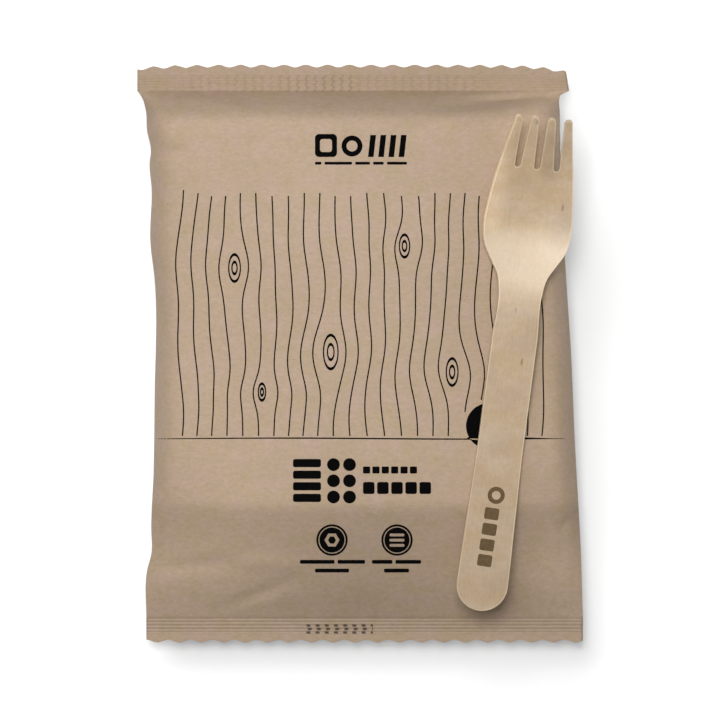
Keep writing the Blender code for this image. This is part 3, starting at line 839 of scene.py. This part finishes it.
def solid_shapes():
    """The bold parts of the print: plain blocks for words, and discs with simple marks in them."""
    shapes = [block_points(*block) for block in SIGN_BLOCKS]
    shapes += [ring_points(*ring) for ring in SIGN_RINGS]
    for i in range(SIGN_BARS):
        foot = SIGN_BAR_LEFT + SIGN_BAR_PITCH * i
        side = [(foot, SIGN_BAR_BOTTOM), (foot + SIGN_BAR_LEAN, SIGN_BAR_TOP)]
        shapes.append(side + [(x + SIGN_BAR_WIDTH, y) for x, y in reversed(side)])
    shapes += word_blocks(*SIGN_WORDS)
    shapes.append(rule_points())
    shapes += bar_column(COUNT_BAR, COUNT_BARS, COUNT_BAR_PITCH)
    for x in COUNT_DOT_COLUMNS:
        ys = [COUNT_DOT_TOP + COUNT_DOT_PITCH * i for i in range(COUNT_DOTS)]
        shapes += [ring_points(x, y, COUNT_DOT_RADIUS) for y in ys]
    for words in COUNT_WORDS:
        shapes += word_blocks(*words)
    for x in BADGE_COLUMNS:
        shapes += [ring_points(x, BADGE_HEIGHT, radius) for radius in BADGE_RADII]
    shapes += [ring_points(BADGE_COLUMNS[0], BADGE_HEIGHT, radius, steps=6) for radius in BADGE_NUT_RADII]
    shapes += bar_column(BADGE_BAR, BADGE_BARS, BADGE_BAR_PITCH)
    for words in BADGE_WORDS:
        shapes += word_blocks(*words)
    shapes.append(ring_points(*PRINT_DISC, steps=PRINT_DISC_STEPS))
    return shapes


def handle_mark():
    """A row of plain blocks and a ring stamped along the handle."""
    shapes = word_blocks(*HANDLE_MARK_WORD) + [ring_points(*ring) for ring in HANDLE_MARK_RINGS]
    turn = math.radians(HANDLE_MARK_TURN)
    along = np.array([math.cos(turn), math.sin(turn)])
    across = np.array([-math.sin(turn), math.cos(turn)])
    return [[tuple(HANDLE_MARK_PLACE + u * along + v * across) for u, v in shape] for shape in shapes]


def draped(name, outlines, step, body, finish):
    """Flat print laid on a body as the photograph's camera sees it."""
    mesh = filled(name, outlines)
    bm = bmesh.new()
    bm.from_mesh(mesh)
    if step:
        low = [min(vert.co[i] for vert in bm.verts) for i in (0, 1)]
        high = [max(vert.co[i] for vert in bm.verts) for i in (0, 1)]
        cut_into_strips(bm, np.arange(low[0] + step, high[0], step), np.arange(low[1] + step, high[1], step))
    surface = BVHTree.FromObject(body, bpy.context.evaluated_depsgraph_get())
    eye = Vector((*PHOTO_CENTRE, PIXEL_HEIGHT + CAMERA_DISTANCE))
    for vert in bm.verts:
        right = (vert.co.x - PHOTO_SIDE / 2) * PIXEL
        up = (PHOTO_SIDE / 2 - vert.co.y) * PIXEL
        place, normal, _, _ = surface.ray_cast(eye, Vector((right, up, -CAMERA_DISTANCE)).normalized())
        vert.co = place + normal * PRINT_GAP
    bmesh.ops.recalc_face_normals(bm, faces=bm.faces)
    down = [face for face in bm.faces if face.normal.z < 0]
    bmesh.ops.reverse_faces(bm, faces=down)
    bm.to_mesh(mesh)
    bm.free()
    return mesh_object(name, mesh, finish)


# Materials


def node(tree, kind, inputs, **settings):
    """A shader node with its settings, and its inputs set to values or joined to other nodes' outputs."""
    made = tree.nodes.new(kind)
    for key, value in settings.items():
        setattr(made, key, value)
    for socket, value in inputs.items():
        if isinstance(value, bpy.types.NodeSocket):
            tree.links.new(value, made.inputs[socket])
        else:
            made.inputs[socket].default_value = value
    return made


def new_finish(name):
    made = bpy.data.materials.new(name)
    made.use_nodes = True
    return made, made.node_tree, made.node_tree.nodes["Principled BSDF"]


def noise(tree, place, scale, detail=3.0, stretch=(1.0, 1.0, 1.0), roughness=0.5):
    stretched = node(tree, "ShaderNodeMapping", {"Vector": place, "Scale": stretch})
    inputs = {"Vector": stretched.outputs[0], "Scale": scale, "Detail": detail, "Roughness": roughness}
    return node(tree, "ShaderNodeTexNoise", inputs).outputs[0]


def scaled(tree, value, factor, offset):
    return node(tree, "ShaderNodeMath", {0: value, 1: factor, 2: offset}, operation="MULTIPLY_ADD").outputs[0]


def product(tree, *values):
    total = values[0]
    for value in values[1:]:
        total = node(tree, "ShaderNodeMath", {0: total, 1: value}, operation="MULTIPLY").outputs[0]
    return total


def between(tree, value, low, high):
    """0 where the value is below low, 1 where it is above high, and smooth between."""
    inputs = {"Value": value, "From Min": low, "From Max": high}
    return node(tree, "ShaderNodeMapRange", inputs, interpolation_type="SMOOTHSTEP").outputs[0]


def blend(tree, factor, first, second):
    return node(tree, "ShaderNodeMix", {0: factor, 6: first, 7: second}, data_type="RGBA").outputs[2]


def inverse(tree, value):
    return scaled(tree, value, -1.0, 1.0)


def uneven(tree, value, amount):
    """A factor that spreads evenly about 1, as the value does about a half."""
    return scaled(tree, value, amount, 1 - amount / 2)


def changed(tree, light, where, amount):
    """Light raised by the amount, or lowered if it is negative, where the mask is 1."""
    return product(tree, light, scaled(tree, where, amount, 1.0))


def lightened(tree, colour, value):
    return node(tree, "ShaderNodeHueSaturation", {"Color": colour, "Value": value}).outputs[0]


def wave(tree, value, pitch, start):
    """1 at start and at every whole pitch from there, 0 halfway between."""
    turn = scaled(tree, value, 2 * math.pi / pitch, -2 * math.pi * start / pitch)
    return scaled(tree, node(tree, "ShaderNodeMath", {0: turn}, operation="COSINE").outputs[0], 0.5, 0.5)


def window(tree, value, low, high, fade):
    """1 between low and high, with soft ends."""
    inside = between(tree, value, low - fade, low)
    return product(tree, inside, inverse(tree, between(tree, value, high, high + fade)))


def near(tree, place, centre, size):
    """1 at the core and 0 outside an ellipse round a place, both given as (x, y)."""
    inputs = {"Vector": place, "Location": (*centre, 0.0), "Scale": (*size, 1.0)}
    moved = node(tree, "ShaderNodeMapping", inputs, vector_type="TEXTURE").outputs[0]
    flat = node(tree, "ShaderNodeVectorMath", {0: moved, 1: (1.0, 1.0, 0.0)}, operation="MULTIPLY").outputs[0]
    distance = node(tree, "ShaderNodeVectorMath", {0: flat}, operation="LENGTH").outputs["Value"]
    return between(tree, distance, 1.0, SPOT_CORE)


def leaning_marks(tree, x, y, ribs, lean, marks, cut):
    """Upright marks that lean to and fro from rib to rib. Ribs and marks are given as pitch and start."""
    rib_pitch, rib_start = ribs
    zigzag = scaled(tree, wave(tree, y, 2 * rib_pitch, rib_start), lean, 0.0)
    leaning = node(tree, "ShaderNodeMath", {0: x, 1: zigzag}, operation="ADD").outputs[0]
    return between(tree, wave(tree, leaning, *marks), *cut)


def top_marks(tree, x, y):
    """How much darker the faint marks across the top end seal are, darker still in the grooves as painted
    shade.
    """
    ribs, marks = (TOP_RIB_PITCH, TOP_EDGE), (TOP_MARK_PITCH, 0.0)
    upright = leaning_marks(tree, x, y, ribs, TOP_MARK_LEAN, marks, TOP_MARK_CUT)
    wide, narrow = [product(tree, window(tree, x, *place), amount) for *place, amount in TOP_MARK_PARTS]
    strength = node(tree, "ShaderNodeMath", {0: wide, 1: narrow}, operation="ADD").outputs[0]
    rows = window(tree, y, TOP_EDGE, TOP_EDGE + TOP_RIBS * TOP_RIB_PITCH, TOP_MARK_FADE)
    groove = wave(tree, y, TOP_RIB_PITCH, TOP_EDGE + SEAL_EDGE)
    depth = scaled(tree, groove, TOP_MARK_IN_GROOVE - TOP_MARK_ON_RIB, TOP_MARK_ON_RIB)
    return product(tree, rows, strength, upright, depth)


def bottom_stamp(tree, x, y):
    """How much darker the short row of stamped marks on the bottom end seal is, darker still in the grooves
    as painted shade.
    """
    ribs, marks = (BOTTOM_RIB_PITCH, BOTTOM_EDGE), (STAMP_PITCH, STAMP_FIRST)
    stamped = leaning_marks(tree, x, y, ribs, STAMP_LEAN, marks, STAMP_CUT)
    low = BOTTOM_EDGE - SEAL_EDGE - (BOTTOM_RIBS + STAMP_BELOW_RIBS) * BOTTOM_RIB_PITCH
    rows = window(tree, y, low, low + STAMP_RIBS * BOTTOM_RIB_PITCH, STAMP_END_FADE)
    length = window(tree, x, STAMP_LEFT, STAMP_RIGHT, STAMP_SIDE_FADE)
    groove = between(tree, wave(tree, y, BOTTOM_RIB_PITCH, BOTTOM_EDGE - SEAL_EDGE), *STAMP_GROOVE_CUT)
    depth = scaled(tree, groove, STAMP_IN_GROOVE - STAMP_ON_RIB, STAMP_ON_RIB)
    return product(tree, rows, length, stamped, depth)


def kraft_paper():
    """Brown paper: yellowish and pinkish patches, fine fibres across the pack and a few dark flecks."""
    made, tree, shader = new_finish("kraft_paper")
    place = node(tree, "ShaderNodeTexCoord", {}).outputs["Object"]
    patches = noise(tree, place, scale=160.0, detail=6.0, roughness=0.68)
    fibres = noise(tree, place, scale=520.0, detail=5.0, stretch=(1.0, 1.7, 1.0), roughness=0.65)
    light = product(
        tree,
        uneven(tree, fibres, amount=0.38),
        uneven(tree, patches, amount=0.14),
        uneven(tree, noise(tree, place, scale=2400.0, detail=2.0), amount=0.22),
        uneven(tree, noise(tree, place, scale=34.0, detail=2.0), amount=0.12),
    )
    # Painted shade and light, from the wrapper's shade attribute
    shade = node(tree, "ShaderNodeAttribute", {}, attribute_name="shade").outputs["Fac"]
    x, y = node(tree, "ShaderNodeSeparateXYZ", {0: place}).outputs[:2]
    crimped = product(tree, inverse(tree, top_marks(tree, x, y)), inverse(tree, bottom_stamp(tree, x, y)))
    light = product(tree, light, shade, crimped)
    pinkish = between(tree, patches, low=0.36, high=0.64)
    colour = blend(tree, pinkish, linear(KRAFT_YELLOW), linear(KRAFT_PINK))
    flecks = noise(tree, place, scale=700.0, detail=2.0, stretch=(1.0, 2.6, 1.0))
    flecks = product(tree, between(tree, flecks, low=0.72, high=0.78), PAPER_FLECKS)
    colour = blend(tree, flecks, colour, linear(FLECK_BROWN))
    tree.links.new(lightened(tree, colour, light), shader.inputs["Base Color"])
    shader.inputs["Roughness"].default_value = 0.62
    shader.inputs["Specular IOR Level"].default_value = 0.3
    bump = node(tree, "ShaderNodeBump", {"Height": fibres, "Strength": 0.3, "Distance": 0.0003})
    tree.links.new(bump.outputs[0], shader.inputs["Normal"])
    return made


def wood_colour(tree, place, pressed, colours, fleck_share):
    """Soft patches of pale, tan and grey wood, short brown flecks, and an even, paler tone over the pressed
    bend as part of its painted sheen.
    """
    pale, tan, grey = [linear(colour) for colour in colours]
    bands = noise(tree, place, scale=150.0, detail=6.0, stretch=(0.6, 1.0, 1.0), roughness=0.66)
    colour = blend(tree, between(tree, bands, low=0.34, high=0.66), pale, tan)
    patches = noise(tree, place, scale=90.0, detail=5.0, stretch=(0.8, 1.0, 1.0), roughness=0.6)
    patches = product(tree, between(tree, patches, low=0.42, high=0.72), GREY_COVER)
    colour = blend(tree, patches, colour, grey)
    flecks = noise(tree, place, scale=520.0, detail=1.0, stretch=(1.0, 0.20, 1.0))
    flecks = product(tree, between(tree, flecks, low=0.77, high=0.82), fleck_share)
    colour = blend(tree, flecks, colour, linear(BIRCH_FLECK))
    for spot in WOOD_SPOTS:
        cover = product(tree, near(tree, place, spot, WOOD_SPOT_SIZE), WOOD_SPOT_COVER)
        colour = blend(tree, cover, colour, linear(BIRCH_FLECK))
    # Painted sheen: an even, paler tone over the pressed bend
    return blend(tree, product(tree, pressed, SHEEN_TONE_COVER), colour, linear(SHEEN_WOOD_TONE))


def wood_light(tree, place, parts, pressed, fibres, rim_shade):
    """Light kept by the wood: uneven with its fibres, with a painted sheen over the pressed bend, painted
    light on the head's left side, and painted shade in spots, towards the handle's end and on the rim.
    """
    x, y = parts
    grain = noise(tree, place, scale=1300.0, detail=3.0, stretch=(1.0, 0.6, 1.0), roughness=0.6)
    light = product(tree, uneven(tree, fibres, amount=0.22), uneven(tree, grain, amount=0.20))
    to_right = between(tree, x, -PRESSED_HALF_WIDTH, PRESSED_HALF_WIDTH)
    sheen = scaled(tree, to_right, PRESSED_LIGHT_GAIN, PRESSED_LIGHT_LEFT)
    # Painted sheen over the pressed bend, a little stronger to the right
    light = changed(tree, light, product(tree, pressed, sheen), 1.0)
    # Painted light on the left side of the head
    raised = product(tree, between(tree, x, *LIT_SIDE_ACROSS), between(tree, y, *LIT_SIDE_ALONG))
    light = changed(tree, light, raised, LIT_SIDE_LIGHT)
    for centre, size, amount in WOOD_SHADES:
        light = changed(tree, light, near(tree, place, centre, size), amount)
    light = product(tree, light, uneven(tree, between(tree, y, 0.0, HANDLE_LIGHT_REACH), HANDLE_LIGHT))
    at_left = between(tree, x, RIM_SHADE_HALF_FADE, -RIM_SHADE_HALF_FADE)
    on_handle = between(tree, y, NECK_PLACE, RIM_SHADE_FULL)
    light = changed(tree, light, product(tree, at_left, on_handle), -rim_shade)
    return changed(tree, light, between(tree, y, *TINE_RIM_PART), -TINE_RIM_SHARE * rim_shade)


def birch(name, colours, fleck_share, rim_shade=0.0):
    """Sliced birch with fine fibres along the fork."""
    made, tree, shader = new_finish(name)
    place = node(tree, "ShaderNodeAttribute", {}, attribute_name="along_fork").outputs["Vector"]
    parts = node(tree, "ShaderNodeSeparateXYZ", {0: place}).outputs[:2]
    fibres = noise(tree, place, scale=2100.0, detail=4.0, stretch=(1.0, 0.07, 1.0), roughness=0.6)
    # The pressed bend, where the painted sheen goes
    pressed = window(tree, parts[1], *PRESSED_PART, PRESSED_FADE)
    colour = wood_colour(tree, place, pressed, colours, fleck_share)
    light = wood_light(tree, place, parts, pressed, fibres, rim_shade)
    tree.links.new(lightened(tree, colour, light), shader.inputs["Base Color"])
    shader.inputs["Roughness"].default_value = 0.45
    shader.inputs["Specular IOR Level"].default_value = 0.6
    bump = node(tree, "ShaderNodeBump", {"Height": fibres, "Strength": 0.12, "Distance": 0.0002})
    tree.links.new(bump.outputs[0], shader.inputs["Normal"])
    return made


def print_ink(name, colour):
    """Matt ink with slightly uneven cover."""
    made, tree, shader = new_finish(name)
    place = node(tree, "ShaderNodeTexCoord", {}).outputs["Object"]
    cover = uneven(tree, noise(tree, place, scale=900.0, detail=2.0), amount=0.8)
    tree.links.new(lightened(tree, linear(colour), cover), shader.inputs["Base Color"])
    shader.inputs["Roughness"].default_value = 0.85
    shader.inputs["Specular IOR Level"].default_value = 0.06
    return made


# Stage


def even_grey(level):
    return (level, level, level, 1.0)


def white_floor():
    """A floor that takes the shadow, glows white where it is seen and lights the object only a little."""
    bpy.ops.mesh.primitive_plane_add(size=FLOOR_SIZE, location=(0.0, 0.0, -FLOOR_DROP))
    floor = bpy.context.object
    floor.name = "floor"
    made, tree, shader = new_finish("floor")
    shader.inputs["Roughness"].default_value = 0.9
    rays = tree.nodes.new("ShaderNodeLightPath").outputs
    seen = rays["Is Camera Ray"]
    for kind in ("Is Glossy Ray", "Is Transmission Ray"):
        seen = node(tree, "ShaderNodeMath", {0: seen, 1: rays[kind]}, operation="MAXIMUM").outputs[0]
    shade = blend(tree, seen, even_grey(FLOOR_BOUNCE), even_grey(FLOOR_SHADE))
    tree.links.new(shade, shader.inputs["Base Color"])
    glow = node(tree, "ShaderNodeEmission", {"Color": WHITE, "Strength": 1.0})
    layers = {0: product(tree, seen, FLOOR_GLOW), 1: shader.outputs[0], 2: glow.outputs[0]}
    mix = node(tree, "ShaderNodeMixShader", layers)
    tree.links.new(mix.outputs[0], tree.nodes["Material Output"].inputs["Surface"])
    floor.data.materials.append(made)


def area_light(name, place, size, watts):
    """A rectangular light aimed at the frame's origin."""
    light = bpy.data.lights.new(name, "AREA")
    light.shape = "RECTANGLE"
    light.size, light.size_y = size
    light.energy = watts
    obj = bpy.data.objects.new(name, light)
    bpy.context.scene.collection.objects.link(obj)
    obj.location = place
    obj.rotation_euler = (-Vector(place)).to_track_quat("-Z", "Y").to_euler()
    return obj


def lights():
    area_light("key", *KEY_LIGHT)
    area_light("fill", *FILL_LIGHT)
    side = area_light("side", *FLOOR_LIGHT)
    floor_only = bpy.data.collections.new("floor_only")
    floor_only.objects.link(bpy.data.objects["floor"])
    side.light_linking.receiver_collection = floor_only
    world = bpy.data.worlds.new("world")
    bpy.context.scene.world = world
    world.use_nodes = True
    background = world.node_tree.nodes["Background"].inputs
    background["Color"].default_value = WHITE
    background["Strength"].default_value = WORLD_STRENGTH


def camera():
    data = bpy.data.cameras.new("camera")
    data.sensor_width = SENSOR
    data.lens = SENSOR * CAMERA_DISTANCE / (PHOTO_SIDE * PIXEL)
    obj = bpy.data.objects.new("camera", data)
    bpy.context.scene.collection.objects.link(obj)
    obj.location = (*PHOTO_CENTRE, PIXEL_HEIGHT + CAMERA_DISTANCE)
    bpy.context.scene.camera = obj


camera()
white_floor()
lights()
wrapper = make_wrapper(kraft_paper())
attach(wrapper, "root")
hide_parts("paper_pack")
ink = print_ink("print_ink", PRINT_BLACK)
prints = (("grain_print", grain_lines(), None), ("front_print", solid_shapes(), PRINT_STEP))
for name, outlines, step in prints:
    printed = draped(name, outlines, step, wrapper, ink)
    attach(printed, "root")
fork = make_fork(birch("birch", BIRCH, BIRCH_FLECKS), birch("birch_rim", BIRCH_RIM, RIM_FLECKS, RIM_SHADE))
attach(fork, "root")
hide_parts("fork")
mark = draped("handle_mark", handle_mark(), None, fork, print_ink("mark_ink", MARK_BROWN))
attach(mark, "root")
bpy.context.scene.view_settings.view_transform = "Standard"
